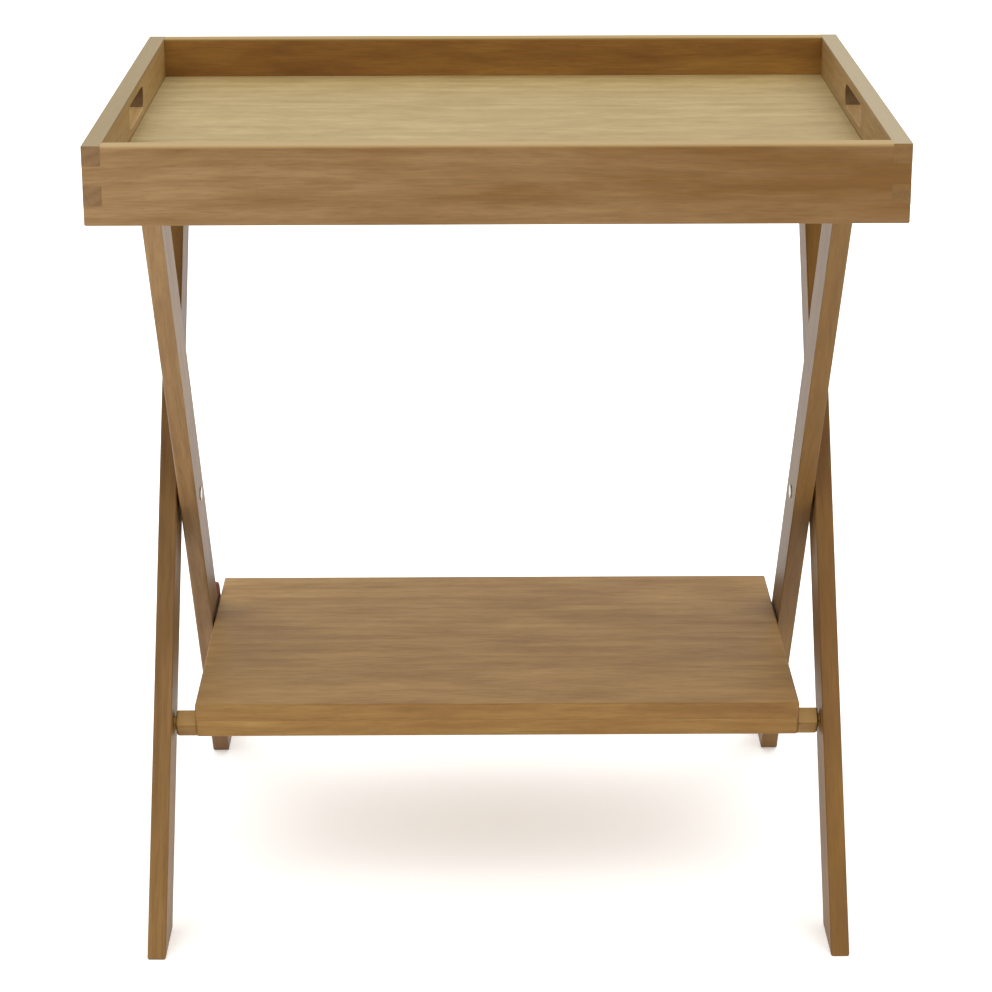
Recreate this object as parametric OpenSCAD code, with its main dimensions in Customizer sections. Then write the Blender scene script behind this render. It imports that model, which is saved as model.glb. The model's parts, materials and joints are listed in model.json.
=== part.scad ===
// Folding tray table.
// A lift-off tray with finger-jointed corners rests on two crossing frames that turn on
// a pair of pivot bolts. A shelf lies on the rails near the foot of the frames: its front
// rail turns in the outer legs, and its back edge rests on a rail of the inner legs.
// Millimetres. X runs along the tray, Y from front to back, Z up.
// The origin is on the floor, under the middle of the tray.

/* [Tray] */
// Length of the tray from side to side
tray_w = 650; // [600:1:720]
// Depth of the tray from front to back
tray_d = 510; // [506:1:560]
// Height of the tray's boards
tray_h = 64; // [56:1:72]
// Thickness of the tray's boards
board_t = 15; // [12:0.5:15]
// How far the floor panel lies below the rim
well_depth = 35.5; // [25:0.5:38]
// Thickness of the floor panel
panel_t = 9; // [6:0.5:10]
// Depth of the groove that the floor panel's tongue sits in
groove_depth = 5; // [3:0.5:7]
// Thickness of the tongue round the floor panel
tongue_t = 5; // [3:0.5:5.5]
// Number of fingers at each corner joint
finger_count = 4; // [2:2:8]

/* [Handle slots] */
// Length of each handle slot
slot_len = 110; // [80:1:140]
// Height of each handle slot
slot_h = 20; // [16:0.5:20]
// Wood left above each handle slot
slot_margin = 9; // [7:0.5:12]

/* [Frames] */
// Height of the table from the floor to the rim of the tray
table_h = 708; // [690:1:720]
// Lean of every leg from upright
leg_angle = 33.6; // [33:0.1:34]
// Height of the pivot bolts above the floor
pivot_z = 337; // [330:1:345]
// Width of a leg across its side face
leg_w = 50; // [46:1:50]
// Thickness of a leg
leg_t = 16; // [14:0.5:18]
// Gap between two legs that cross
leg_gap = 2.5; // [2:0.5:4]
// How far the outer legs stand in from the tray's sides
leg_inset = 23.5; // [18:0.5:40]
// Thickness of the rails that carry the tray
top_rail_t = 20; // [16:1:24]
// Height of the rails that carry the tray
top_rail_h = 24; // [20:1:30]

/* [Shelf] */
// Depth of the shelf from front to back
shelf_d = 324; // [300:1:330]
// Height of the shelf's top face above the floor
shelf_z = 187.5; // [180:0.5:195]
// Thickness of the shelf panel
shelf_t = 15; // [14:0.5:18]
// Gap between each end of the shelf and the inner legs
shelf_gap = 2; // [2:0.5:4]
// Width and height of the square shelf rails
rail_t = 17; // [14:0.5:18]
// Distance of each shelf rail from the middle of the table, front to back
rail_y = 113.5; // [105:0.5:118]
// Gap between each end of the turning rail and the outer legs
rail_end_gap = 1.5; // [1:0.5:5]
// Diameter of the round journals at the ends of the turning rail
journal_d = 12; // [10:0.5:13]
// Length of each journal inside its leg
journal_len = 10; // [8:0.5:11]
// Length of the batten under the back of the shelf
batten_len = 400; // [300:5:480]

/* [Hardware] */
// Diameter of the flat heads of the pivot bolts
pivot_head_d = 12; // [10:0.5:16]
// Diameter of the threaded sleeve that the legs turn on
sleeve_d = 8; // [7:0.5:10]
// Diameter of the wood screws
screw_d = 4; // [3:0.5:4.5]
// Diameter of the countersunk screw heads
screw_head_d = 8; // [7:0.5:9]

/* [Hidden] */
$fn = 64;

// Every named sub-part

// Clearances
overshoot = 2;       // how far a cutter runs past a face
bore_gap = 0.05;     // radial clearance of every bore
rest_gap = 0.1;      // between faces that slide or rest on each other
tray_play = 1;       // between the leg tops and the tray's boards
journal_play = 0.4;  // between the end of a journal and the bottom of its bore

// Heights of the tray
tray_z = table_h - tray_h;
floor_top = table_h - well_depth;
floor_bottom = floor_top - panel_t;
finger_h = tray_h / finger_count;
panel_play = 0.4;    // room for the panel to swell between the boards

// Legs: the outer pair leans back, the inner pair leans forward
outer_x = tray_w / 2 - leg_inset - leg_t;        // inner face of the right outer leg
inner_x = outer_x - leg_gap - leg_t;             // inner face of the right inner leg
leg_reach = tray_d / 2 - board_t - tray_play;    // depth that the leg tops may fill

// Rails under the tray
top_rail_y = (floor_bottom - top_rail_h / 2 - pivot_z) * tan(leg_angle);
top_screw_spacing = top_rail_h / 2;

// Shelf rails, which lie square to the inner legs
shelf_bottom = shelf_z - shelf_t;
strip_d = 12;                                    // depth of the front strip, front to back
strip_h = 15;
ridge = rail_t / 2 * (sin(leg_angle) + cos(leg_angle));
rail_z = shelf_bottom - ridge - rest_gap;
shelf_front = -(rail_y + ridge + rest_gap + strip_d);
shelf_back = shelf_front + shelf_d;
shelf_half = inner_x - shelf_gap;
rail_half = outer_x - rail_end_gap;
batten_t = 15;
batten_gap = 1;                                  // between the batten and the rear rail
batten_y = rail_y + ridge + batten_gap;

// Small dark block on the back edge of the left inner leg
stop_len = 30;
stop_depth = 24;
stop_t = 12;
stop_round = 9;
stop_place = -226;   // lower end, measured along the leg from the pivot

// Pivot hardware
cap_t = 1;                                       // thickness of the flat heads
sleeve_wall = 1.45;
bolt_r = sleeve_d / 2 - sleeve_wall - bore_gap;
sleeve_inset = 3;                                // how far the sleeve stops short of the inner face
sleeve_end = inner_x + sleeve_inset;
bolt_reach = 22;
washer_r = 9;
slot_w = 1.2;
slot_cut = 0.5;

// Wood screws
screw_sink = 0.3;                                // how far a head lies below the wood
screw_head_h = 2.5;
screw_tip = 4;
recess_w = 0.9;
recess_depth = 1.4;
long_screw = 40;
rail_screw_len = 34;
batten_screw_len = 26;
shelf_screw_x = [-180, 0, 180];

// A box between two values on each axis
module block(x, y, z) {
    translate([x[0], y[0], z[0]])
        cube([x[1] - x[0], y[1] - y[0], z[1] - z[0]]);
}

// Puts what is drawn on the right on the left when side is -1
module on_side(side) {
    if (side > 0) children();
    else mirror([1, 0, 0]) children();
}

// Tray

// A board's end joint: takes away every second finger from the one numbered first
module finger_gaps(x, y, first) {
    for (level = [first : 2 : finger_count - 1]) {
        low = level == 0 ? tray_z - overshoot : tray_z + level * finger_h;
        high = level == finger_count - 1 ? table_h + overshoot : tray_z + (level + 1) * finger_h;
        block(x, y, [low, high]);
    }
}

// A slab under the tray's floor that runs past the boards' inner faces by reach
module floor_slab(reach, thickness) {
    x = tray_w / 2 - board_t + reach;
    y = tray_d / 2 - board_t + reach;
    block([-x, x], [-y, y], [floor_bottom, floor_bottom + thickness]);
}

// The front board; the back board is the same board turned round
module long_board() {
    color("#a8834f")
    difference() {
        block([-tray_w / 2, tray_w / 2], [-tray_d / 2, board_t - tray_d / 2], [tray_z, table_h]);
        for (side = [-1, 1])
            on_side(side)
                finger_gaps([tray_w / 2 - board_t, tray_w / 2 + overshoot],
                            [-tray_d / 2 - overshoot, board_t - tray_d / 2 + overshoot], 1);
        floor_slab(groove_depth, tongue_t);
    }
}

module tray_front_board() {
    long_board();
}

module tray_back_board() {
    mirror([0, 1, 0]) long_board();
}

// The right side board with its handle slot
module side_board() {
    slot_z = table_h - slot_margin - slot_h / 2;
    slot_end = (slot_len - slot_h) / 2;
    x = [tray_w / 2 - board_t - overshoot, tray_w / 2 + overshoot];
    color("#b08d5a")
    difference() {
        block([tray_w / 2 - board_t, tray_w / 2], [-tray_d / 2, tray_d / 2], [tray_z, table_h]);
        for (end = [0, 1])
            mirror([0, end, 0])
                finger_gaps(x, [tray_d / 2 - board_t, tray_d / 2 + overshoot], 0);
        floor_slab(groove_depth, tongue_t);
        block(x, [-slot_end, slot_end], [slot_z - slot_h / 2, slot_z + slot_h / 2]);
        for (y = [-slot_end, slot_end])
            translate([x[0], y, slot_z])
                rotate([0, 90, 0])
                    cylinder(h = x[1] - x[0], d = slot_h);
    }
}

module tray_left_board() {
    on_side(-1) side_board();
}

module tray_right_board() {
    on_side(1) side_board();
}

// The floor panel, with a tongue round its lower edge
module tray_floor() {
    color("#c4a873")
    union() {
        floor_slab(-panel_play, panel_t);
        floor_slab(groove_depth - panel_play, tongue_t);
    }
}

// Fasteners

// A countersunk wood screw that points up, with the top of its head at z = 0
module wood_screw(length) {
    shank = screw_d / 2;
    difference() {
        union() {
            cylinder(h = screw_head_h, r1 = screw_head_d / 2, r2 = shank);
            cylinder(h = length - screw_tip, r = shank);
            translate([0, 0, length - screw_tip])
                cylinder(h = screw_tip, r1 = shank, r2 = shank / 4);
        }
        for (turn = [0, 90])
            rotate([0, 0, turn])
                cube([shank * 2, recess_w, recess_depth * 2], center = true);
    }
}

// The hole that a wood screw leaves, open above its head
module screw_hole(length) {
    head = screw_head_d / 2 + bore_gap;
    shank = screw_d / 2 + bore_gap;
    translate([0, 0, -overshoot]) cylinder(h = overshoot, r = head);
    cylinder(h = screw_head_h, r1 = head, r2 = shank);
    cylinder(h = length + bore_gap, r = shank);
}

// Turns a screw to run inwards from the outer face of the right-hand legs
module from_face(face_x, y, z) {
    translate([face_x - screw_sink, y, z])
        rotate([0, -90, 0])
            children();
}

// Two screws above each other, through a leg into the end of a tray rail
module top_rail_screws_at(face_x, y) {
    for (step = [-0.5, 0.5])
        from_face(face_x, y, floor_bottom - top_rail_h / 2 + step * top_screw_spacing)
            children();
}

// Screws through the turning rail, square to its lower face, into the shelf
module turning_rail_screws_at() {
    for (x = shelf_screw_x)
        translate([x, -rail_y, rail_z])
            rotate([leg_angle, 0, 0])
                translate([0, 0, screw_sink - rail_t / 2])
                    children();
}

// Screws up through the batten into the shelf
module batten_screws_at() {
    for (x = shelf_screw_x)
        translate([x, batten_y + batten_t / 2, shelf_bottom - batten_t + screw_sink])
            children();
}

// Frames

// A leg with its inner face at x, cut level at the floor and under the tray's panel,
// and upright where it would meet the tray's boards
module leg_blank(x, lean) {
    wide = [x - overshoot, x + leg_t + overshoot];
    intersection() {
        translate([x + leg_t / 2, 0, pivot_z])
            rotate([lean, 0, 0])
                cube([leg_t, leg_w, 2 * table_h], center = true);
        union() {
            block(wide, [-tray_d, tray_d], [0, pivot_z]);
            block(wide, [-leg_reach, leg_reach], [0, floor_bottom]);
        }
    }
}

// The bore for the pivot sleeve
module pivot_bore() {
    translate([inner_x - overshoot, 0, pivot_z])
        rotate([0, 90, 0])
            cylinder(h = tray_w / 2 - inner_x, r = sleeve_d / 2 + bore_gap);
}

// The right outer leg: foot at the front, top at the back
module outer_leg() {
    color("#94703c")
    difference() {
        leg_blank(outer_x, -leg_angle);
        pivot_bore();
        translate([outer_x - overshoot, -rail_y, rail_z])
            rotate([0, 90, 0])
                cylinder(h = journal_len + overshoot + journal_play, r = journal_d / 2 + bore_gap);
        top_rail_screws_at(outer_x + leg_t, top_rail_y) screw_hole(long_screw);
    }
}

module outer_leg_left() {
    on_side(-1) outer_leg();
}

module outer_leg_right() {
    on_side(1) outer_leg();
}

// The right inner leg: foot at the back, top at the front
module inner_leg() {
    color("#9a7744")
    difference() {
        leg_blank(inner_x, leg_angle);
        pivot_bore();
        top_rail_screws_at(inner_x + leg_t, -top_rail_y) screw_hole(long_screw);
        from_face(inner_x + leg_t, rail_y, rail_z) screw_hole(long_screw);
    }
}

module inner_leg_left() {
    on_side(-1) inner_leg();
}

module inner_leg_right() {
    on_side(1) inner_leg();
}

// A rail under the tray that reaches from one leg to the other
module top_rail(half, y, face_x) {
    color("#a5814c")
    difference() {
        block([-half, half], [y - top_rail_t / 2, y + top_rail_t / 2],
              [floor_bottom - top_rail_h, floor_bottom]);
        for (side = [-1, 1])
            on_side(side) top_rail_screws_at(face_x, y) screw_hole(long_screw);
    }
}

module outer_top_rail() {
    top_rail(outer_x, top_rail_y, outer_x + leg_t);
}

module inner_top_rail() {
    top_rail(inner_x, -top_rail_y, inner_x + leg_t);
}

// A square rail turned to lie square to the inner legs
module shelf_rail(half, y) {
    translate([0, y, rail_z])
        rotate([leg_angle, 0, 0])
            cube([2 * half, rail_t, rail_t], center = true);
}

module rear_shelf_rail() {
    color("#a5814c")
    difference() {
        shelf_rail(inner_x, rail_y);
        for (side = [-1, 1])
            on_side(side)
                from_face(inner_x + leg_t, rail_y, rail_z) screw_hole(long_screw);
    }
}

// A block with one rounded corner, on the back edge of the left inner leg
module rear_stop_block() {
    color("#5e3526")
    translate([-inner_x, 0, pivot_z])
        rotate([leg_angle, 0, 0])
            translate([-stop_t, leg_w / 2, stop_place])
                difference() {
                    cube([stop_t, stop_depth, stop_len]);
                    translate([0, stop_depth - stop_round, stop_len - stop_round])
                        difference() {
                            block([-overshoot, stop_t + overshoot],
                                  [0, stop_round + overshoot], [0, stop_round + overshoot]);
                            translate([-2 * overshoot, 0, 0])
                                rotate([0, 90, 0])
                                    cylinder(h = stop_t + 4 * overshoot, r = stop_round);
                        }
                }
}

// Shelf

module shelf_panel() {
    color("#a58552")
    difference() {
        block([-shelf_half, shelf_half], [shelf_front, shelf_back], [shelf_bottom, shelf_z]);
        turning_rail_screws_at() screw_hole(rail_screw_len);
        batten_screws_at() screw_hole(batten_screw_len);
    }
}

// The strip glued under the shelf's front edge
module shelf_front_strip() {
    color("#b28d55")
        block([-shelf_half, shelf_half], [shelf_front, shelf_front + strip_d],
              [shelf_bottom - strip_h, shelf_bottom]);
}

// The rail that the shelf tilts on, with a round journal at each end
module shelf_turning_rail() {
    color("#b28d55")
    difference() {
        union() {
            shelf_rail(rail_half, -rail_y);
            translate([-outer_x - journal_len, -rail_y, rail_z])
                rotate([0, 90, 0])
                    cylinder(h = 2 * (outer_x + journal_len), d = journal_d);
        }
        turning_rail_screws_at() screw_hole(rail_screw_len);
    }
}

// The batten that hooks behind the rear shelf rail
module shelf_rear_batten() {
    color("#a5814c")
    difference() {
        block([-batten_len / 2, batten_len / 2], [batten_y, batten_y + batten_t],
              [shelf_bottom - batten_t, shelf_bottom]);
        batten_screws_at() screw_hole(batten_screw_len);
    }
}

// Pivot hardware

// Bolt with a flat slotted head on the inner leg's inner face
module pivot_bolt() {
    head_x = inner_x - rest_gap - cap_t;
    color("#d2d2cf")
    translate([head_x, 0, pivot_z])
        rotate([0, 90, 0])
            difference() {
                union() {
                    cylinder(h = cap_t, d = pivot_head_d);
                    cylinder(h = cap_t + bolt_reach, r = bolt_r);
                }
                cube([pivot_head_d - 2 * slot_w, slot_w, slot_cut * 2], center = true);
            }
}

// Threaded sleeve with a flat head on the outer leg's outer face
module pivot_sleeve() {
    length = outer_x + leg_t - sleeve_end;
    color("#c8c8c5")
    translate([sleeve_end, 0, pivot_z])
        rotate([0, 90, 0])
            difference() {
                union() {
                    cylinder(h = length, d = sleeve_d);
                    translate([0, 0, length]) cylinder(h = cap_t, d = pivot_head_d);
                }
                translate([0, 0, -overshoot]) cylinder(h = bolt_reach + overshoot, r = bolt_r + bore_gap);
            }
}

// Washer that keeps two crossing legs apart
module pivot_washer() {
    color("#b9b9b4")
    translate([outer_x - leg_gap + rest_gap, 0, pivot_z])
        rotate([0, 90, 0])
            difference() {
                cylinder(h = leg_gap - rest_gap, r = washer_r);
                translate([0, 0, -overshoot])
                    cylinder(h = leg_gap + 2 * overshoot, r = sleeve_d / 2 + bore_gap);
            }
}

module pivot_bolt_left() {
    on_side(-1) pivot_bolt();
}

module pivot_bolt_right() {
    on_side(1) pivot_bolt();
}

module pivot_sleeve_left() {
    on_side(-1) pivot_sleeve();
}

module pivot_sleeve_right() {
    on_side(1) pivot_sleeve();
}

module pivot_washer_left() {
    on_side(-1) pivot_washer();
}

module pivot_washer_right() {
    on_side(1) pivot_washer();
}

// Groups of wood screws

module outer_rail_screws() {
    color("#bfb48c")
    for (side = [-1, 1])
        on_side(side)
            top_rail_screws_at(outer_x + leg_t, top_rail_y) wood_screw(long_screw);
}

module inner_rail_screws() {
    color("#bfb48c")
    for (side = [-1, 1])
        on_side(side)
            top_rail_screws_at(inner_x + leg_t, -top_rail_y) wood_screw(long_screw);
}

module rear_rail_screws() {
    color("#bfb48c")
    for (side = [-1, 1])
        on_side(side)
            from_face(inner_x + leg_t, rail_y, rail_z) wood_screw(long_screw);
}

module turning_rail_screws() {
    color("#bfb48c")
        turning_rail_screws_at() wood_screw(rail_screw_len);
}

module batten_screws() {
    color("#bfb48c")
        batten_screws_at() wood_screw(batten_screw_len);
}

tray_front_board();
tray_back_board();
tray_left_board();
tray_right_board();
tray_floor();
outer_leg_left();
outer_leg_right();
outer_top_rail();
inner_leg_left();
inner_leg_right();
inner_top_rail();
rear_shelf_rail();
rear_stop_block();
shelf_panel();
shelf_front_strip();
shelf_turning_rail();
shelf_rear_batten();
pivot_bolt_left();
pivot_bolt_right();
pivot_sleeve_left();
pivot_sleeve_right();
pivot_washer_left();
pivot_washer_right();
outer_rail_screws();
inner_rail_screws();
rear_rail_screws();
turning_rail_screws();
batten_screws();
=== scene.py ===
"""Folding tray table: an oiled hardwood tray on two crossing frames, with a shelf near the feet.

Every wooden piece is a finished copy of its CAD part, with eased edges, grain along its
length and end grain where it is cut across. Lengths are in metres unless a name says mm.
"""

import json
from math import pi, radians

import bmesh
import bpy
from mathutils import Matrix, Vector


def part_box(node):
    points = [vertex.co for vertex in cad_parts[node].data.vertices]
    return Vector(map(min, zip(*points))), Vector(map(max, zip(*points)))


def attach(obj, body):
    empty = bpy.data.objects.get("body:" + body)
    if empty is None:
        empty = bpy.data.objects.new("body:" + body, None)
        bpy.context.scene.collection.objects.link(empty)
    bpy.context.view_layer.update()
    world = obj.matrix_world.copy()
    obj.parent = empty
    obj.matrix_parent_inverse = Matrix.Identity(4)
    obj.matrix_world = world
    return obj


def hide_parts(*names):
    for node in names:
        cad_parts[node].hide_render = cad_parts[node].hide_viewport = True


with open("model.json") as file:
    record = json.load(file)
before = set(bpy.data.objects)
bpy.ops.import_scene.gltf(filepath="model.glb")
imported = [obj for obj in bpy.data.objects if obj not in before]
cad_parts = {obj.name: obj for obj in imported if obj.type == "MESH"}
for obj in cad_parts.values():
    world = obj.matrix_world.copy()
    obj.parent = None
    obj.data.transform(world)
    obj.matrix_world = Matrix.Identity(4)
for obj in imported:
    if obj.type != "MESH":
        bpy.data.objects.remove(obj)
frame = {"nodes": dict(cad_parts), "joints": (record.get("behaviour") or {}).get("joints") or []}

bl_info = {
    "name": "Folding Tray Table",
    "version": (1, 0, 0),
    "blender": (4, 5, 0),
    "location": "View3D > Sidebar > Tray Table",
    "description": "Builds a folding tray table round its CAD frame",
    "category": "Add Mesh",
}

MM = 0.001
MERGE = 0.01 * MM         # points closer than this are one point
FLAT = radians(0.4)       # triangles that meet at less than this are one flat face
CORNER = radians(30)      # faces that meet at more than this have a corner edge between them
FACING = 0.5              # cosine of the widest angle at which a face still looks some way
HOLE_FACET = 3 * MM       # longer than any edge in the rim of a round hole
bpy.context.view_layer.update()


# Sizes read from the frame

def joint(name):
    """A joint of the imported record."""
    return next(j for j in frame["joints"] if j["name"] == name)


SIDE_LOW, SIDE_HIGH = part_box("tray_right_board")
BOARD = SIDE_HIGH.x - SIDE_LOW.x
HALF_W = SIDE_HIGH.x
HALF_D = SIDE_HIGH.y
RIM = SIDE_HIGH.z
UNDER = SIDE_LOW.z
PIVOT = Vector(joint("frame_fold")["pos_m"])
SHELF_LOW, SHELF_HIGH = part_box("shelf_panel")
SHELF_STAVE = (SHELF_HIGH.y - SHELF_LOW.y) / 4    # the panel is glued up from four boards
LEG_LEAN = radians(33.6)
LEG_MIDDLE = 0.27    # where a leg's middle lies along its own length, from the origin


# Small helpers

def channels(hex_code):
    """The red, green and blue of an sRGB hex value, such as "#a5814c", from 0 to 1."""
    return [int(hex_code[i:i + 2], 16) / 255 for i in (1, 3, 5)]


def colour(hex_code):
    """An sRGB hex value as the linear colour that shaders take."""
    linear = [c / 12.92 if c <= 0.04045 else ((c + 0.055) / 1.055) ** 2.4
              for c in channels(hex_code)]
    return (*linear, 1.0)


def hex_of(value):
    """A colour property's value as the sRGB hex that colour() takes."""
    return "#" + "".join(f"{round(c * 255):02x}" for c in value)


def add(tree, kind, inputs=(), **settings):
    """Adds one node. inputs pairs an input's name or number with the output it is linked to
    or the value it holds. A setting is the node's own, or else an input with _ for a space."""
    node = tree.nodes.new(kind)
    for key, value in settings.items():
        if hasattr(node, key):
            setattr(node, key, value)
    for key, value in settings.items():
        if not hasattr(node, key):
            node.inputs[key.replace("_", " ")].default_value = value
    for key, value in dict(inputs).items():
        if isinstance(value, bpy.types.NodeSocket):
            tree.links.new(value, node.inputs[key])
        else:
            node.inputs[key].default_value = value
    return node


def new_material(name):
    """An empty node material and its tree."""
    material = bpy.data.materials.new(name)
    material.use_nodes = True
    material.node_tree.nodes.clear()
    return material, material.node_tree


# Wood

# Turns that lay a piece's length along the pattern's X axis
ALONG_X = (0.0, 0.0, 0.0)
ALONG_Y = (0.0, 0.0, radians(-90))
UP_OUTER_LEG = (LEG_LEAN, radians(90), 0.0)
UP_INNER_LEG = (-LEG_LEAN, radians(90), 0.0)

# Scale of each pattern along the grain, for a scale of 1 across it
WAVE_RUN = 0.16
RING_RUN = 0.02
BAND_RUN = 0.17
FIBRE_RUN = 0.05
PORE_RUN = 0.07

# The stretch of each noise that is spread over its whole effect
BAND_SPREAD = {"From_Min": 0.3, "From_Max": 0.7}
FIBRE_SPREAD = {"From_Min": 0.35, "From_Max": 0.75}
PORE_SPREAD = {"From_Min": 0.62, "From_Max": 0.74}

# Shares of a growth ring at which the late wood starts and is darkest
LATE_START = 0.1
LATE_FULL = 0.7

STAVE_JUMP = (3.0, 0.4, 0.06)    # how far apart in the tree two boards of a panel may grow
RELIEF = 0.08 * MM
OILED_IOR = 1.36                 # lower than varnish, for a weaker shine

# Strength of the rings and of the relief, and roughness added at the dips and at the crests
PLANED = {"rings": 1.0, "relief": 0.22, "dips": -0.05, "crests": 0.12}
SAWN_ACROSS = {"rings": 1.6, "relief": 0.35, "dips": 0.12, "crests": 0.22}


def deal_out_boards(tree, at, width):
    """Gives each board of a glued-up panel its own stretch of wood."""
    split = add(tree, "ShaderNodeSeparateXYZ", {"Vector": at})
    count = add(tree, "ShaderNodeMath", {0: split.outputs["Y"], 1: width}, operation="DIVIDE")
    board = add(tree, "ShaderNodeMath", {0: count.outputs[0]}, operation="FLOOR")
    luck = add(tree, "ShaderNodeTexWhiteNoise", {"W": board.outputs[0]}, noise_dimensions="1D")
    jump = add(tree, "ShaderNodeVectorMath", {0: luck.outputs["Color"], 1: STAVE_JUMP},
               operation="MULTIPLY")
    moved = add(tree, "ShaderNodeVectorMath", {0: at, 1: jump.outputs[0]}, operation="ADD")
    return moved.outputs[0]


def bend_grain(tree, at, finish):
    """Long slow waves that push the grain sideways, as a tree's own bends do."""
    drawn_out = add(tree, "ShaderNodeMapping", {"Vector": at}, Scale=(WAVE_RUN, 1.0, 1.0))
    waves = add(tree, "ShaderNodeTexNoise", {"Vector": drawn_out.outputs[0]},
                Scale=finish.wave_per_m, Detail=3.0, Roughness=0.5)
    centred = add(tree, "ShaderNodeVectorMath", {0: waves.outputs["Color"], 1: (0.5, 0.5, 0.5)},
                  operation="SUBTRACT")
    push = add(tree, "ShaderNodeVectorMath", {0: centred.outputs[0]}, operation="SCALE",
               Scale=finish.wave_mm * MM)
    bent = add(tree, "ShaderNodeVectorMath", {0: at, 1: push.outputs[0]}, operation="ADD")
    return bent.outputs[0]


def late_wood(tree, bent, finish):
    """The dark part of each growth ring. The rings lie round the heart of the tree, which
    runs along the piece, so they follow the distance from that line."""
    drawn_out = add(tree, "ShaderNodeVectorMath", {0: bent, 1: (RING_RUN, 1.0, 1.0)},
                    operation="MULTIPLY")
    radius = add(tree, "ShaderNodeVectorMath", {0: drawn_out.outputs[0]}, operation="LENGTH")
    rings = add(tree, "ShaderNodeMath", {0: radius.outputs["Value"], 1: 1 / (finish.ring_mm * MM)},
                operation="MULTIPLY")
    cycle = add(tree, "ShaderNodeMath", {0: rings.outputs[0]}, operation="FRACT")
    late = add(tree, "ShaderNodeValToRGB", {"Fac": cycle.outputs[0]})
    ramp = late.color_ramp
    ramp.interpolation = "EASE"
    ramp.elements[0].position = LATE_START
    ramp.elements[0].color = (0, 0, 0, 1)
    ramp.elements[1].position = LATE_FULL
    ramp.elements[1].color = (1, 1, 1, 1)
    ramp.elements.new(1.0).color = (0, 0, 0, 1)
    return late.outputs["Color"]


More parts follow.
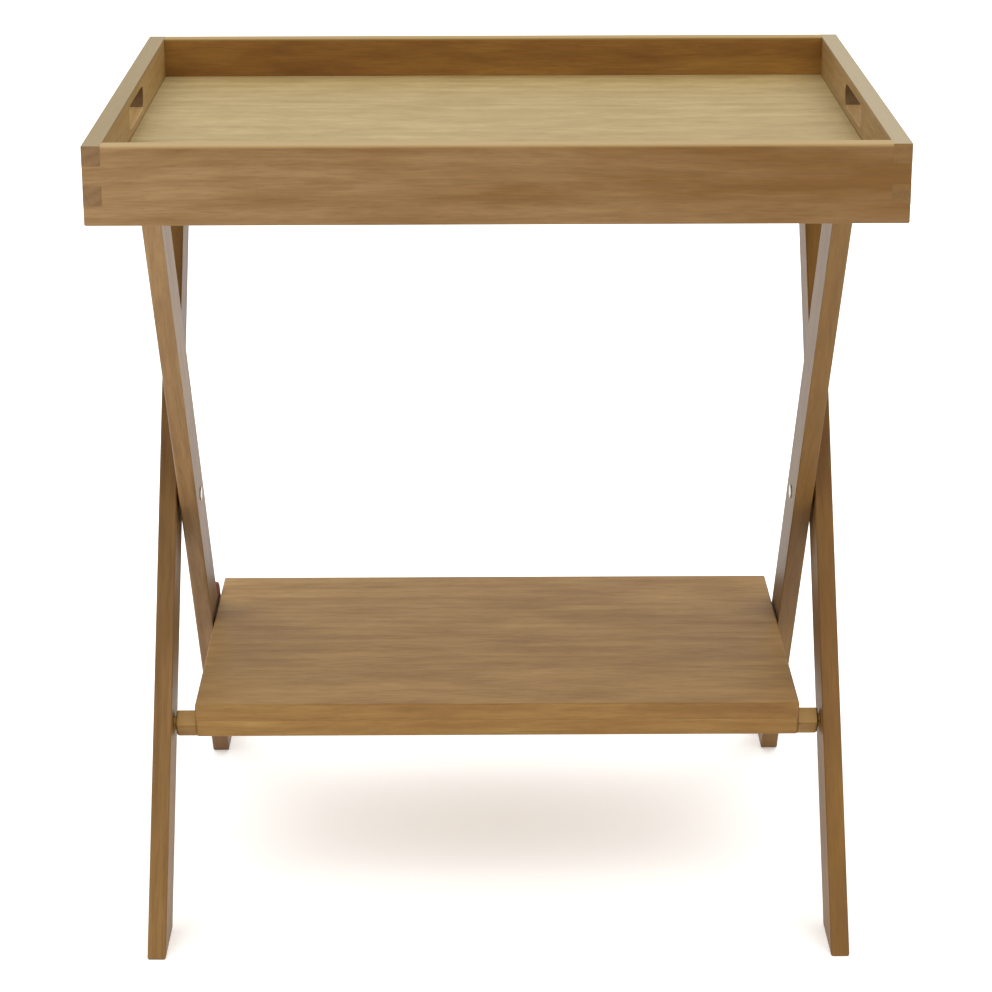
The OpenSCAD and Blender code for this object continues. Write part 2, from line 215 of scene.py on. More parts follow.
def wood(name, tones, turn, shift, drift=0.0, middle=0.0, staves=0.0, close=1.0, painted_light=None,
         end=False):
    """Oiled acacia, planed and sanded: close, wavy growth rings and long fine fibres with
    short pores, a low satin sheen, and darker, duller wood where it is cut across.

    tones are the colours of the early wood, the broad bands and the late wood. turn and
    shift lay the pattern on the piece. drift deepens the tone towards one end, about the
    middle of the piece, staves is the width of a glued-up panel's boards, and close is how
    much finer and shorter the figure is than in solid boards. painted_light is painted
    light: a paler tone that comes in with height, for upper faces that the light from above
    makes look paler. It holds its colour, the heights where it starts and is full, and how
    full it gets.
    """
    pale, deep, dark = map(colour, tones)
    material, tree = new_material(name)
    finish = bpy.context.scene.tray_table_wood
    cut = SAWN_ACROSS if end else PLANED

    where = add(tree, "ShaderNodeTexCoord").outputs["Object"]
    grain = add(tree, "ShaderNodeMapping", {"Vector": where}, Rotation=turn,
                Location=shift).outputs["Vector"]
    at = deal_out_boards(tree, grain, staves) if staves else grain
    bent = bend_grain(tree, at, finish)
    late = late_wood(tree, bent, finish)

    # Broad bands of tone, long fibres and short pores, all drawn out along the grain. Real
    # fibres and pores are too fine to show from a distance, so these are coarser
    band_at = add(tree, "ShaderNodeMapping", {"Vector": bent}, Scale=(BAND_RUN * close, 1.0, 1.0))
    band = add(tree, "ShaderNodeTexNoise", {"Vector": band_at.outputs[0]},
               Scale=finish.band_per_m * close, Detail=5.0, Roughness=0.6)
    fibre_at = add(tree, "ShaderNodeMapping", {"Vector": bent}, Scale=(FIBRE_RUN * close, 1.0, 1.0))
    fibres = add(tree, "ShaderNodeTexNoise", {"Vector": fibre_at.outputs[0]},
                 Scale=1 / (finish.fibre_mm * MM), Detail=3.0, Roughness=0.55)
    pore_at = add(tree, "ShaderNodeMapping", {"Vector": at}, Scale=(PORE_RUN, 1.0, 1.0))
    pores = add(tree, "ShaderNodeTexNoise", {"Vector": pore_at.outputs[0]},
                Scale=1 / (finish.pore_mm * MM), Detail=1.0, Roughness=0.4)
    pits = add(tree, "ShaderNodeMapRange", {"Value": pores.outputs["Fac"]},
               interpolation_type="SMOOTHSTEP", **PORE_SPREAD)

    # Tone: the bands, with a slow change from one end of the piece to the other
    along = add(tree, "ShaderNodeSeparateXYZ", {"Vector": grain})
    per_m = drift / (2 * HALF_W)
    slope = add(tree, "ShaderNodeMath",
                {0: along.outputs["X"], 1: per_m, 2: -(shift[0] + middle) * per_m},
                operation="MULTIPLY_ADD")
    spread = add(tree, "ShaderNodeMapRange", {"Value": band.outputs["Fac"]}, **BAND_SPREAD)
    tone = add(tree, "ShaderNodeMath", {0: spread.outputs[0], 1: slope.outputs[0]},
               operation="ADD", use_clamp=True)
    ground = add(tree, "ShaderNodeMix", {"Factor": tone.outputs[0]}, data_type="RGBA",
                 A=pale, B=deep)

    # Grain: the late wood and the fibres darken the tone, and the pores lie over them
    ring_share = add(tree, "ShaderNodeMath", {0: late, 1: finish.ring_contrast * cut["rings"]},
                     operation="MULTIPLY")
    fibre_share = add(tree, "ShaderNodeMapRange", {"Value": fibres.outputs["Fac"]},
                      To_Max=finish.fibre_contrast, **FIBRE_SPREAD)
    both = add(tree, "ShaderNodeMath", {0: ring_share.outputs[0], 1: fibre_share.outputs[0]},
               operation="ADD", use_clamp=True)
    grained = add(tree, "ShaderNodeMix",
                  {"Factor": both.outputs[0], "A": ground.outputs["Result"]},
                  data_type="RGBA", B=dark)
    pit_share = add(tree, "ShaderNodeMath", {0: pits.outputs[0], 1: finish.pore_contrast},
                    operation="MULTIPLY")
    surface = add(tree, "ShaderNodeMix",
                  {"Factor": pit_share.outputs[0], "A": grained.outputs["Result"]},
                  data_type="RGBA", B=colour(hex_of(finish.pore_tone)))

    if painted_light:
        # Painted light: upper edges and faces are paler, as light from above and the sheen show them
        tint, low, high, most = painted_light
        upright = add(tree, "ShaderNodeSeparateXYZ", {"Vector": where})
        painted_light_share = add(tree, "ShaderNodeMapRange", {"Value": upright.outputs["Z"]},
                   From_Min=low, From_Max=high, To_Max=most, interpolation_type="SMOOTHSTEP")
        surface = add(tree, "ShaderNodeMix",
                      {"Factor": painted_light_share.outputs[0], "A": surface.outputs["Result"]},
                      data_type="RGBA", B=colour(tint))

    # Relief: the fibres stand a little proud and the pores are open
    relief = add(tree, "ShaderNodeMath", {0: fibres.outputs["Fac"], 1: pits.outputs[0]},
                 operation="SUBTRACT")
    bump = add(tree, "ShaderNodeBump", {"Height": relief.outputs[0]},
               Strength=cut["relief"], Distance=RELIEF)
    satin = add(tree, "ShaderNodeMapRange", {"Value": fibres.outputs["Fac"]},
                To_Min=finish.roughness + cut["dips"], To_Max=finish.roughness + cut["crests"])
    skin = add(tree, "ShaderNodeBsdfPrincipled",
               {"Base Color": surface.outputs["Result"], "Roughness": satin.outputs[0],
                "Normal": bump.outputs[0]}, IOR=OILED_IOR)
    add(tree, "ShaderNodeOutputMaterial", {"Surface": skin.outputs[0]})
    return material


# Metal

def nickel(name):
    """Nickel plate on turned steel: bright, slightly warm, with fine turning marks."""
    material, tree = new_material(name)
    # Real turning marks are too fine to show, so these are coarser. At a scale of 1 a wave
    # texture runs through 20 radians in each metre
    spacing = 1.184 * MM
    where = add(tree, "ShaderNodeTexCoord")
    centred = add(tree, "ShaderNodeMapping", {"Vector": where.outputs["Object"]}, Location=-PIVOT)
    marks = add(tree, "ShaderNodeTexWave", {"Vector": centred.outputs[0]}, wave_type="RINGS",
                rings_direction="X", Scale=2 * pi / (20 * spacing), Distortion=1.0, Detail=1.0)
    shine = add(tree, "ShaderNodeMapRange", {"Value": marks.outputs["Fac"]}, To_Min=0.26, To_Max=0.38)
    bump = add(tree, "ShaderNodeBump", {"Height": marks.outputs["Fac"]}, Strength=0.1,
               Distance=0.02 * MM)
    skin = add(tree, "ShaderNodeBsdfPrincipled",
               {"Roughness": shine.outputs[0], "Normal": bump.outputs[0]}, Metallic=1.0,
               Base_Color=colour(hex_of(bpy.context.scene.tray_table_metal.nickel)))
    add(tree, "ShaderNodeOutputMaterial", {"Surface": skin.outputs[0]})
    return material


def yellow_zinc(name):
    """Yellow passivated zinc on steel screws: pale gold with cloudy, browner patches."""
    material, tree = new_material(name)
    metal = bpy.context.scene.tray_table_metal
    cloud = 3 * MM
    where = add(tree, "ShaderNodeTexCoord")
    clouds = add(tree, "ShaderNodeTexNoise", {"Vector": where.outputs["Object"]},
                 Scale=1 / cloud, Detail=2.0)
    tint = add(tree, "ShaderNodeMix", {"Factor": clouds.outputs["Fac"]}, data_type="RGBA",
               A=colour(hex_of(metal.zinc)), B=colour(hex_of(metal.zinc_cloud)))
    skin = add(tree, "ShaderNodeBsdfPrincipled", {"Base Color": tint.outputs["Result"]},
               Metallic=1.0, Roughness=0.34)
    add(tree, "ShaderNodeOutputMaterial", {"Surface": skin.outputs[0]})
    return material


# Finished pieces

def carve(node):
    """A clean bmesh of a CAD node: its doubles merged and its flat triangles joined."""
    mesh = bmesh.new()
    mesh.from_mesh(frame["nodes"][node].data)
    bmesh.ops.remove_doubles(mesh, verts=mesh.verts, dist=MERGE)
    bmesh.ops.dissolve_limit(mesh, angle_limit=FLAT, verts=mesh.verts, edges=mesh.edges)
    return mesh


def ease(mesh, rule, widest):
    """Marks how much of the widest arris each corner edge gets. rule gives a width."""
    weights = mesh.edges.layers.float.new("bevel_weight_edge")
    for edge in mesh.edges:
        if len(edge.link_faces) == 2 and edge.calc_face_angle() > CORNER:
            edge[weights] = min(1.0, rule(edge) / widest)
            edge.smooth = False


def finish_piece(node, mesh, body, slot, widest, face, *others):
    """Makes a bmesh the piece that stands for a CAD node. face covers it, apart from the
    faces that pass the test in one of the others, each of which is a material and a test."""
    for part in mesh.faces:
        part.smooth = True
        part.material_index = next((i for i, other in enumerate(others, 1) if other[1](part)), 0)
    data = bpy.data.meshes.new(node + "_finished")
    mesh.to_mesh(data)
    mesh.free()
    piece = bpy.data.objects.new(node + "_finished", data)
    bpy.context.scene.collection.objects.link(piece)
    for material in (face, *(other[0] for other in others)):
        data.materials.append(material)
    bevel = piece.modifiers.new("Arris", "BEVEL")
    bevel.limit_method = "WEIGHT"
    bevel.width = widest
    bevel.segments = 3
    bevel.profile = 0.5
    bevel.harden_normals = True
    bevel.use_clamp_overlap = True
    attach(piece, body)
    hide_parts(node)
    return piece


def short(edge):
    """True for the little edges in the rim of a round hole. They stay sharp, because the
    bevel narrows every eased edge of a piece to what its shortest one has room for."""
    return edge.calc_length() < HOLE_FACET


def middle_of(edge):
    """The point half way along an edge."""
    return (edge.verts[0].co + edge.verts[1].co) / 2


def points_along(axis):
    """A test for faces that lie across an axis, where the end grain shows."""
    direction = Vector(axis).normalized()
    return lambda part: abs(part.normal.dot(direction)) > FACING


def to_the_front(part):
    """True for faces that look to the front."""
    return part.normal.y < -FACING


def to_the_back(part):
    """True for faces that look to the back."""
    return part.normal.y > FACING


def in_slot(part):
    """True for faces near the middle of a side board, where its handle slot is."""
    middle = part.calc_center_median()
    return abs(middle.x) > HALF_W - BOARD and abs(middle.y) < HALF_D / 2


def grain_of(lean):
    """The direction of a leg that leans back by an angle."""
    return Matrix.Rotation(-lean, 3, "X") @ Vector((0, 0, 1))


# Settings

def length(name, description, mm):
    """A length property with a default in millimetres."""
    return bpy.props.FloatProperty(name=name, description=description, default=mm * MM,
                                   min=0.0, precision=5, unit="LENGTH")


def share(name, description, default):
    """A property that runs from 0 to 1."""
    return bpy.props.FloatProperty(name=name, description=description, default=default,
                                   min=0.0, max=1.0, subtype="FACTOR")


def shade(name, description, hex_code):
    """A colour property whose default is an sRGB hex value."""
    return bpy.props.FloatVectorProperty(name=name, description=description,
                                         default=channels(hex_code), min=0.0, max=1.0,
                                         subtype="COLOR_GAMMA")


class TrayTableEdges(bpy.types.PropertyGroup):
    """How far the edges of each kind of piece are eased."""

    rim: length("Tray edges", "Width of the eased edges round the tray", 1.3)
    slot: length("Slot edges", "Width of the eased edges round each handle slot", 2.2)
    joint: length("Joint lines", "Width of the fine line along each glued joint", 0.16)
    leg: length("Leg edges", "Width of the eased edges of the legs", 1.6)
    shelf: length("Shelf edges", "Width of the eased edges of the shelf", 1.4)
    strip: length("Strip ends", "Width of the rounded ends of the strip under the shelf", 3.0)
    rail: length("Rail edges", "Width of the eased edges of the rails", 1.4)
    rail_end: length("Rail ends", "Width of the rounded ends of the turning rail", 2.4)
    block: length("Block edges", "Width of the rounded edges of the stop block", 2.5)
    metal: length("Metal edges", "Width of the eased edges of the pivot's metal parts", 0.35)


class TrayTableWood(bpy.types.PropertyGroup):
    """The grain that every wooden piece shares."""

    ring_mm: bpy.props.FloatProperty(
        name="Ring width (mm)", description="Distance between growth rings", default=9.0, min=1.0)
    fibre_mm: bpy.props.FloatProperty(
        name="Fibre width (mm)", default=1.5, min=0.2,
        description="Width of the fibres, coarser than real so that they show from a distance")
    pore_mm: bpy.props.FloatProperty(
        name="Pore width (mm)", default=0.9, min=0.2,
        description="Width of the pores, coarser than real so that they show from a distance")
    wave_mm: bpy.props.FloatProperty(
        name="Wave (mm)", description="How far the rings wander", default=40.0, min=0.0)
    wave_per_m: bpy.props.FloatProperty(
        name="Waves per metre", description="How often the rings wander", default=9.0, min=0.1)
    band_per_m: bpy.props.FloatProperty(
        name="Bands per metre", description="How often the tone changes across", default=32.0, min=1.0)
    ring_contrast: share("Ring contrast", "Strength of the late wood", 0.16)
    fibre_contrast: share("Fibre contrast", "Strength of the fibres", 0.36)
    pore_contrast: share("Pore contrast", "Strength of the pores", 0.25)
    pore_tone: shade("Pore colour", "Colour of the open pores", "#5c381f")
    roughness: share("Roughness", "Dullness of the oiled surface", 0.46)


class TrayTableMetal(bpy.types.PropertyGroup):
    """The colours of the metal parts."""

    nickel: shade("Nickel", "Colour of the pivot bolts, sleeves and washers", "#c3c0b8")
    zinc: shade("Zinc", "Colour of the wood screws", "#d8c68e")
    zinc_cloud: shade("Zinc clouds", "Colour of the cloudy patches on the wood screws", "#c9b07a")


class TrayTableStage(bpy.types.PropertyGroup):
    """Camera, floor and light."""

    lens: bpy.props.FloatProperty(
        name="Lens (mm)", description="Focal length of the camera", default=105.0, min=10.0)
    eye: bpy.props.FloatVectorProperty(
        name="Camera place", description="Where the camera stands",
        default=(-0.0157, -2.4812, 1.1671), subtype="TRANSLATION", unit="LENGTH")
    tilt: bpy.props.FloatProperty(
        name="Tilt", description="How far the camera looks down", default=radians(18.573),
        subtype="ANGLE", unit="ROTATION")
    heading: bpy.props.FloatProperty(
        name="Heading", description="How far the camera looks to the right",
        default=radians(0.366), subtype="ANGLE", unit="ROTATION")
    roll: bpy.props.FloatProperty(
        name="Roll", description="How far the camera is rolled", default=radians(-0.12),
        subtype="ANGLE", unit="ROTATION")
    floor: length("Floor size", "Side of the square floor", 24000)
    paper: shade("Floor colour", "Colour of the pale floor", "#f2f2f0")
    glow: bpy.props.FloatProperty(
        name="Floor light", description="How much the floor shines by itself, as a light table does",
        default=0.34, min=0.0)
    sky: bpy.props.FloatProperty(
        name="Room light", description="Strength of the even light all round", default=0.66, min=0.0)
    key: bpy.props.FloatProperty(
        name="Ceiling light (W)", description="Power of the broad light above", default=1500.0,
        min=0.0)
    height: length("Ceiling height", "Height of the broad light above", 7000)
    forward: length("Ceiling light forward", "How far in front the broad light hangs", 1000)
    width: length("Ceiling width", "Side of the square light above", 20000)


# Tray

def painted_rim_light(tone):
    """Painted light: a paler tone that comes in over the last few millimetres below the rim, for the
    top edge that light from above and the sheen make paler.
    """
    return tone, RIM - 3 * MM, RIM - 0.3 * MM, 0.85


def tray_rule(edges):
    """Eases the edges round the assembled tray, and leaves a fine line at its joints."""
    def rule(edge):
        middle = middle_of(edge)
        span = edge.verts[1].co - edge.verts[0].co
        at_top = abs(middle.z - RIM) < MERGE
        at_foot = abs(middle.z - UNDER) < MERGE
        outer_x = abs(abs(middle.x) - HALF_W) < MERGE
        outer_y = abs(abs(middle.y) - HALF_D) < MERGE
        inner_x = abs(abs(middle.x) - HALF_W + BOARD) < MERGE and abs(middle.y) < HALF_D - BOARD
        inner_y = abs(abs(middle.y) - HALF_D + BOARD) < MERGE and abs(middle.x) < HALF_W - BOARD
        level = abs(span.z) < MERGE
        runs_x = level and abs(span.y) < MERGE
        runs_y = level and abs(span.x) < MERGE
        round_tray = (runs_x and (outer_y or inner_y)) or (runs_y and (outer_x or inner_x))
        round_slot = ((outer_x or inner_x) and abs(middle.y) < HALF_D / 2
                      and middle.z > (RIM + UNDER) / 2 and not at_top)
        if (at_top or at_foot) and round_tray:
            return edges.rim
        if outer_x and outer_y:
            return edges.rim
        return edges.slot if round_slot else edges.joint
    return rule


class TrayTableBoards(bpy.types.Operator):
    """Make the four finger-jointed boards of the tray"""

    bl_idname = "tray_table.boards"
    bl_label = "Tray boards"

    def execute(self, context):
        edges = context.scene.tray_table_edges
        # For each board, its tones, its place in the tree, its drift and the tone of its rim, which is
        # painted light: paler, as light from above and the sheen make the top edge look
        boards = {
            "front": (("#927249", "#704b15", "#5c3c15"), (0.4, -0.06, -0.35), 0.75, "#a48a5a"),
            # The back board's tones hold painted shade: they were matched on its inner face, in the
            # tray's shade
            "back": (("#aa7b34", "#744a19", "#5d3e18"), (2.1, 0.31, -0.61), -0.3, "#9b804b"),
            "left": (("#b0915d", "#9a7942", "#7e5e33"), (3.3, 0.42, 0.5), -0.2, "#847453"),
            "right": (("#a98b5d", "#937341", "#785930"), (5.2, 0.23, 0.33), 0.2, "#978a6d"),
        }
        ends = dict.fromkeys(boards, ("#836442", "#725635", "#5b4122"))
        ends["right"] = ("#815f31", "#715127", "#5b4122")
        slot_end_shade = ("#6e522f", "#5f4526", "#47321b")
        for place, (tones, shift, drift, rim) in boards.items():
            node = f"tray_{place}_board"
            along_x = place in ("front", "back")
            turn = ALONG_X if along_x else ALONG_Y
            cut = points_along((1, 0, 0) if along_x else (0, 1, 0))
            mesh = carve(node)
            if not along_x:
                # The rim's inner edge stops at the front and back boards
                for y in (BOARD - HALF_D, HALF_D - BOARD):
                    bmesh.ops.bisect_plane(mesh, geom=mesh.verts[:] + mesh.edges[:] + mesh.faces[:],
                                           plane_co=(0, y, 0), plane_no=(0, 1, 0))
            ease(mesh, tray_rule(edges), edges.slot)
            face = wood(f"acacia_{place}_board", tones, turn, shift, drift, painted_light=painted_rim_light(rim))
            end = wood(f"acacia_{place}_board_end", ends[place], turn, shift, end=True)
            looks = [(end, cut)]
            if not along_x:
                # Painted shade: the end grain inside a slot is darker than at the corners, for the
                # shade inside the slot
                inside = wood(f"acacia_{place}_slot_end_shade", slot_end_shade, turn, shift, end=True)
                looks.insert(0, (inside, lambda part: cut(part) and in_slot(part)))
            if place == "back":
                # The board's outer face has the tones of the front board, not those inside. The inside
                # tones were matched where the board lies in the tray's shade, so they are a shaded
                # copy of its wood: painted shade, more orange than the board in full light
                outer = wood("acacia_back_board_outer", boards["front"][0], turn, shift, drift,
                             painted_light=painted_rim_light(rim))
                looks.append((outer, to_the_back))
            finish_piece(node, mesh, "tray", "tray_wood", edges.slot, face, *looks)
        return {"FINISHED"}


class TrayTableFloor(bpy.types.Operator):
    """Make the veneered panel that is the tray's floor"""

    bl_idname = "tray_table.floor"
    bl_label = "Tray floor"

    def execute(self, context):
        edges = context.scene.tray_table_edges
        shift = (0.2, 0.45, 0.9)
        mesh = carve("tray_floor")
        ease(mesh, lambda edge: edges.joint, edges.joint)
        # The veneer's figure is finer and shorter than the boards', and its tone is greyer
        face = wood("acacia_veneer", ("#aa9567", "#958051", "#7c673d"), ALONG_X, shift, 0.1,
                    close=1.8)
        end = wood("acacia_veneer_edge", ("#93764a", "#83653a", "#66492a"), ALONG_X, shift,
                   end=True)
        finish_piece("tray_floor", mesh, "tray", "tray_floor_wood", edges.joint, face,
                     (end, points_along((1, 0, 0))))
        return {"FINISHED"}


# Frames

END_GRAIN = ("#7c5d3a", "#6a4c2c", "#513820")


class TrayTableLegs(bpy.types.Operator):
    """Make the four crossing legs"""

    bl_idname = "tray_table.legs"
    bl_label = "Legs"

    def execute(self, context):
        edges = context.scene.tray_table_edges
        # For each leg, its tones, its place in the tree and its drift
        legs = {
            "outer_leg_left": (("#86622f", "#614012", "#50350e"), (0.9, 0.1, 0.29), 0.9),
            "outer_leg_right": (("#7f5a1f", "#684310", "#54350c"), (2.9, 0.16, 0.32), 0.2),
            "inner_leg_left": (("#927247", "#714f2a", "#5c3e1e"), (4.1, 0.2, 0.36), -0.8),
            "inner_leg_right": (("#805f2a", "#6e4c1e", "#563916"), (6.3, 0.13, 0.4), -0.2),
        }
        for node, (tones, shift, drift) in legs.items():
            outer = node.startswith("outer")
            lean = LEG_LEAN if outer else -LEG_LEAN
            turn = UP_OUTER_LEG if outer else UP_INNER_LEG
            mesh = carve(node)
            ease(mesh, lambda edge: 0.0 if short(edge) else edges.leg, edges.leg)
            face = wood(f"acacia_{node}", tones, turn, shift, drift, LEG_MIDDLE)
            end = wood(f"acacia_{node}_end", END_GRAIN, turn, shift, end=True)
            finish_piece(node, mesh, "outer_frame" if outer else "inner_frame", "leg_wood",
                         edges.leg, face, (end, points_along(grain_of(lean))))
        return {"FINISHED"}


def rail_rule(edges, ends):
    """Eases the edges along a rail, and gives the edges round its ends a width of their own."""
    def rule(edge):
        if short(edge):
            return 0.0
        at_end = abs(edge.verts[0].co.x - edge.verts[1].co.x) < MERGE
        return ends if at_end else edges.rail
    return rule


class TrayTableRails(bpy.types.Operator):
    """Make the rails under the tray and under the shelf, and the shelf's batten"""

    bl_idname = "tray_table.rails"
    bl_label = "Rails"

    def execute(self, context):
        edges = context.scene.tray_table_edges
        rails = {
            "outer_top_rail": ("outer_frame", (1.2, 0.5, 0.1)),
            "inner_top_rail": ("inner_frame", (2.2, 0.6, 0.2)),
            "rear_shelf_rail": ("inner_frame", (3.2, 0.7, 0.3)),
            "shelf_turning_rail": ("shelf", (4.2, 0.3, 0.4)),
            "shelf_rear_batten": ("shelf", (5.2, 0.4, 0.5)),
        }
        for node, (body, shift) in rails.items():
            mesh = carve(node)
            if node == "shelf_turning_rail":
                # Painted light: its upper half is paler, above the corner that points to the front,
                # for the face that the light from above reaches
                front_corner = min((corner.co for corner in mesh.verts), key=lambda place: place.y)
                blend = 1 * MM
                tones = ("#ab8240", "#8a662d", "#715022")
                painted_light = ("#cda669", front_corner.z - blend, front_corner.z + blend, 0.6)
                ends = edges.rail_end
            else:
                tones = ("#a5814c", "#85612f", "#6a4b26")
                painted_light = None
                ends = edges.rail
            ease(mesh, rail_rule(edges, ends), edges.rail_end)
            face = wood(f"acacia_{node}", tones, ALONG_X, shift, painted_light=painted_light)
            # End grain, made darker than the legs' as painted shade for the dark gap where a rail's
            # end meets a leg
            end = wood(f"acacia_{node}_end", ("#5c3d20", "#4c3019", "#3a2412"), ALONG_X, shift,
                       end=True)
            finish_piece(node, mesh, body, "rail_wood", edges.rail_end, face,
                         (end, points_along((1, 0, 0))))
        return {"FINISHED"}


class TrayTableStop(bpy.types.Operator):
    """Make the small dark stop block behind the left inner leg"""

    bl_idname = "tray_table.stop"
    bl_label = "Stop block"

    def execute(self, context):
        edges = context.scene.tray_table_edges
        mesh = carve("rear_stop_block")
        ease(mesh, lambda edge: edges.block, edges.block)
        # A darker, redder hardwood than the rest of the table
        face = wood("dark_hardwood", ("#813824", "#67291a", "#471b12"), UP_INNER_LEG, (0.7, 0.3, 0.2))
        finish_piece("rear_stop_block", mesh, "inner_frame", "dark_wood", edges.block, face)
        return {"FINISHED"}


# Shelf

def shelf_rule(edges, ends):
    """Eases the shelf's edges, leaves a fine line where the panel and the strip are glued
    together, and gives the edges round the piece's ends a width of their own."""
    def rule(edge):
        middle = middle_of(edge)
        glued = abs(middle.z - SHELF_LOW.z) < MERGE and middle.y < SHELF_LOW.y + BOARD + MERGE
        if short(edge):
            return 0.0
        if glued:
            return edges.joint
        at_end = abs(middle.x) > SHELF_HIGH.x - MERGE
        return ends if at_end else edges.shelf
    return rule


class TrayTableShelf(bpy.types.Operator):
    """Make the glued-up shelf panel and the strip under its front edge"""

    bl_idname = "tray_table.shelf"
    bl_label = "Shelf"

    def execute(self, context):
        edges = context.scene.tray_table_edges
        # For each piece, its tones, its front face's darker tones, which are painted shade, its place
        # in the tree, the width of its boards if it is glued up, and the ease of its ends
        pieces = {
            "shelf_panel": (("#ab8850", "#8d6937", "#6e4e25"), ("#9b763d", "#7a5323", "#634419"),
                            (0.6, 0.137, 0.42), SHELF_STAVE, edges.shelf),
            "shelf_front_strip": (("#a57f48", "#845a22", "#6c491e"), ("#9d7941", "#7a531b", "#66451a"),
                                  (1.7, 0.23, 0.31), 0.0, edges.strip),
        }
        drift = 0.35
        for node, (tones, shaded_front_tones, shift, staves, ends) in pieces.items():
            mesh = carve(node)
            ease(mesh, shelf_rule(edges, ends), edges.strip)
            face = wood(f"acacia_{node}", tones, ALONG_X, shift, drift, staves=staves, close=1.3)
            end = wood(f"acacia_{node}_end", END_GRAIN, ALONG_X, shift, staves=staves, end=True)
            # Painted shade: the faces that look to the front get darker tones than the top
            front = wood(f"acacia_{node}_front", shaded_front_tones, ALONG_X, shift, drift)
            finish_piece(node, mesh, "shelf", "shelf_wood", edges.strip, face,
                         (end, points_along((1, 0, 0))), (front, to_the_front))
        return {"FINISHED"}


# Hardware

class TrayTableHardware(bpy.types.Operator):
    """Finish the pivot bolts, sleeves and washers and the wood screws"""

    bl_idname = "tray_table.hardware"
    bl_label = "Hardware"

    def execute(self, context):
        edges = context.scene.tray_table_edges
        plate = nickel("nickel_plate")
        zinc = yellow_zinc("yellow_zinc")
        for side in ("left", "right"):
            for kind in ("bolt", "sleeve", "washer"):
                node = f"pivot_{kind}_{side}"
                mesh = carve(node)
                ease(mesh, lambda edge: edges.metal, edges.metal)
                finish_piece(node, mesh, "outer_frame", "pivot_steel", edges.metal, plate)
        for node, part in frame["nodes"].items():
            if node.endswith("_screws"):
                part.material_slots[0].material = zinc
        return {"FINISHED"}


# Stage

FLOOR_GAP = 0.2 * MM    # keeps the floor clear of the undersides of the feet


def aim_camera(scene, stage):
    """The camera, which looks down at the table from the front."""
    lens = bpy.data.cameras.new("camera")
    lens.lens = stage.lens
    lens.sensor_width = 36.0
    camera = bpy.data.objects.new("camera", lens)
    scene.collection.objects.link(camera)
    camera.matrix_world = (Matrix.Translation(stage.eye)
                           @ Matrix.Rotation(-stage.heading, 4, "Z")
                           @ Matrix.Rotation(radians(90) - stage.tilt, 4, "X")
                           @ Matrix.Rotation(stage.roll, 4, "Z"))
    scene.camera = camera


def floor_paper(stage):
    """Matt white paper: hardly any sheen, and a little light of its own that thins the shadows."""
    material, tree = new_material("floor_paper")
    skin = add(tree, "ShaderNodeBsdfPrincipled", Base_Color=colour(hex_of(stage.paper)),
               Roughness=0.9, Specular_IOR_Level=0.1, Emission_Color=(1, 1, 1, 1),
               Emission_Strength=stage.glow)
    add(tree, "ShaderNodeOutputMaterial", {"Surface": skin.outputs[0]})
    return material


def lay_floor(scene, stage):
    """The wide pale floor that the table stands on."""
    ground = bmesh.new()
    bmesh.ops.create_grid(ground, x_segments=1, y_segments=1, size=stage.floor / 2,
                          matrix=Matrix.Translation((0, 0, -FLOOR_GAP)))
    data = bpy.data.meshes.new("floor")
    ground.to_mesh(data)
    ground.free()
    floor = bpy.data.objects.new("floor", data)
    scene.collection.objects.link(floor)
    data.materials.append(floor_paper(stage))


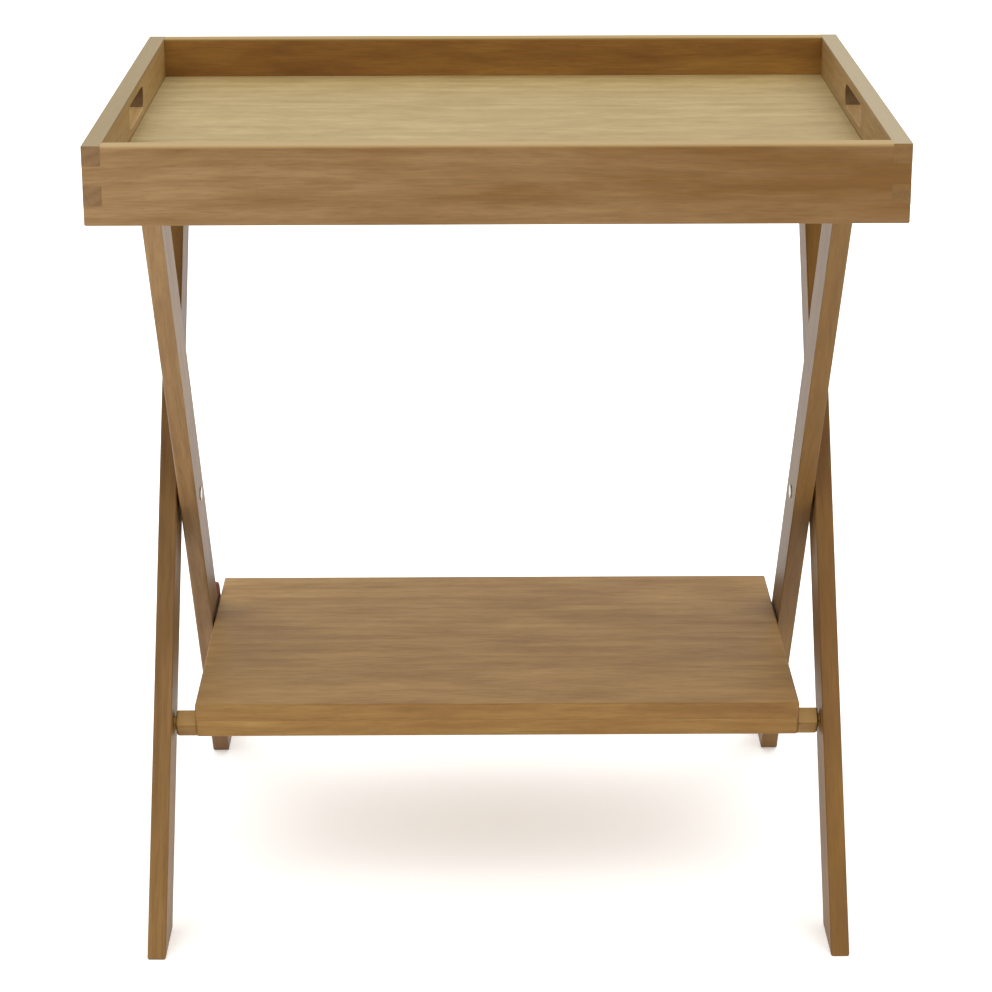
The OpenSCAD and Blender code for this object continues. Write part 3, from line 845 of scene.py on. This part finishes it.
def light_room(scene, stage):
    """Even light all round, and a broad light above."""
    world = bpy.data.worlds.new("room")
    world.use_nodes = True
    world.node_tree.nodes.clear()
    light = add(world.node_tree, "ShaderNodeBackground", Color=(1, 1, 1, 1), Strength=stage.sky)
    add(world.node_tree, "ShaderNodeOutputWorld", {"Surface": light.outputs[0]})
    scene.world = world

    lamp = bpy.data.lights.new("key", "AREA")
    lamp.shape = "SQUARE"
    lamp.size = stage.width
    lamp.energy = stage.key
    key = bpy.data.objects.new("key", lamp)
    scene.collection.objects.link(key)
    key.location = (0, -stage.forward, stage.height)


class TrayTableSetStage(bpy.types.Operator):
    """Set up the pale floor, the soft light and the camera"""

    bl_idname = "tray_table.stage"
    bl_label = "Stage"

    def execute(self, context):
        scene = context.scene
        stage = scene.tray_table_stage
        aim_camera(scene, stage)
        lay_floor(scene, stage)
        light_room(scene, stage)
        scene.view_settings.view_transform = "Standard"
        return {"FINISHED"}


# Panel and registration

OPERATORS = (TrayTableSetStage, TrayTableBoards, TrayTableFloor, TrayTableLegs, TrayTableRails,
             TrayTableStop, TrayTableShelf, TrayTableHardware)
SETTINGS = {"tray_table_edges": TrayTableEdges, "tray_table_wood": TrayTableWood,
            "tray_table_metal": TrayTableMetal, "tray_table_stage": TrayTableStage}


class TrayTablePanel(bpy.types.Panel):
    """The tray table's operators and settings in the sidebar"""

    bl_idname = "VIEW3D_PT_tray_table"
    bl_label = "Folding Tray Table"
    bl_space_type = "VIEW_3D"
    bl_region_type = "UI"
    bl_category = "Tray Table"

    def draw(self, context):
        for operator in OPERATORS:
            self.layout.operator(operator.bl_idname)
        for name, group in SETTINGS.items():
            box = self.layout.box()
            for setting in group.__annotations__:
                box.prop(getattr(context.scene, name), setting)


def register():
    """Registers the settings, the operators and the panel."""
    for group in (*SETTINGS.values(), *OPERATORS, TrayTablePanel):
        bpy.utils.register_class(group)
    for name, group in SETTINGS.items():
        setattr(bpy.types.Scene, name, bpy.props.PointerProperty(type=group))


def unregister():
    """Removes what register() added."""
    for name in SETTINGS:
        delattr(bpy.types.Scene, name)
    for group in reversed((*SETTINGS.values(), *OPERATORS, TrayTablePanel)):
        bpy.utils.unregister_class(group)


def main():
    """Builds the stage and every piece."""
    register()
    bpy.ops.tray_table.stage()
    bpy.ops.tray_table.boards()
    bpy.ops.tray_table.floor()
    bpy.ops.tray_table.legs()
    bpy.ops.tray_table.rails()
    bpy.ops.tray_table.stop()
    bpy.ops.tray_table.shelf()
    bpy.ops.tray_table.hardware()


if __name__ == "__main__":
    main()
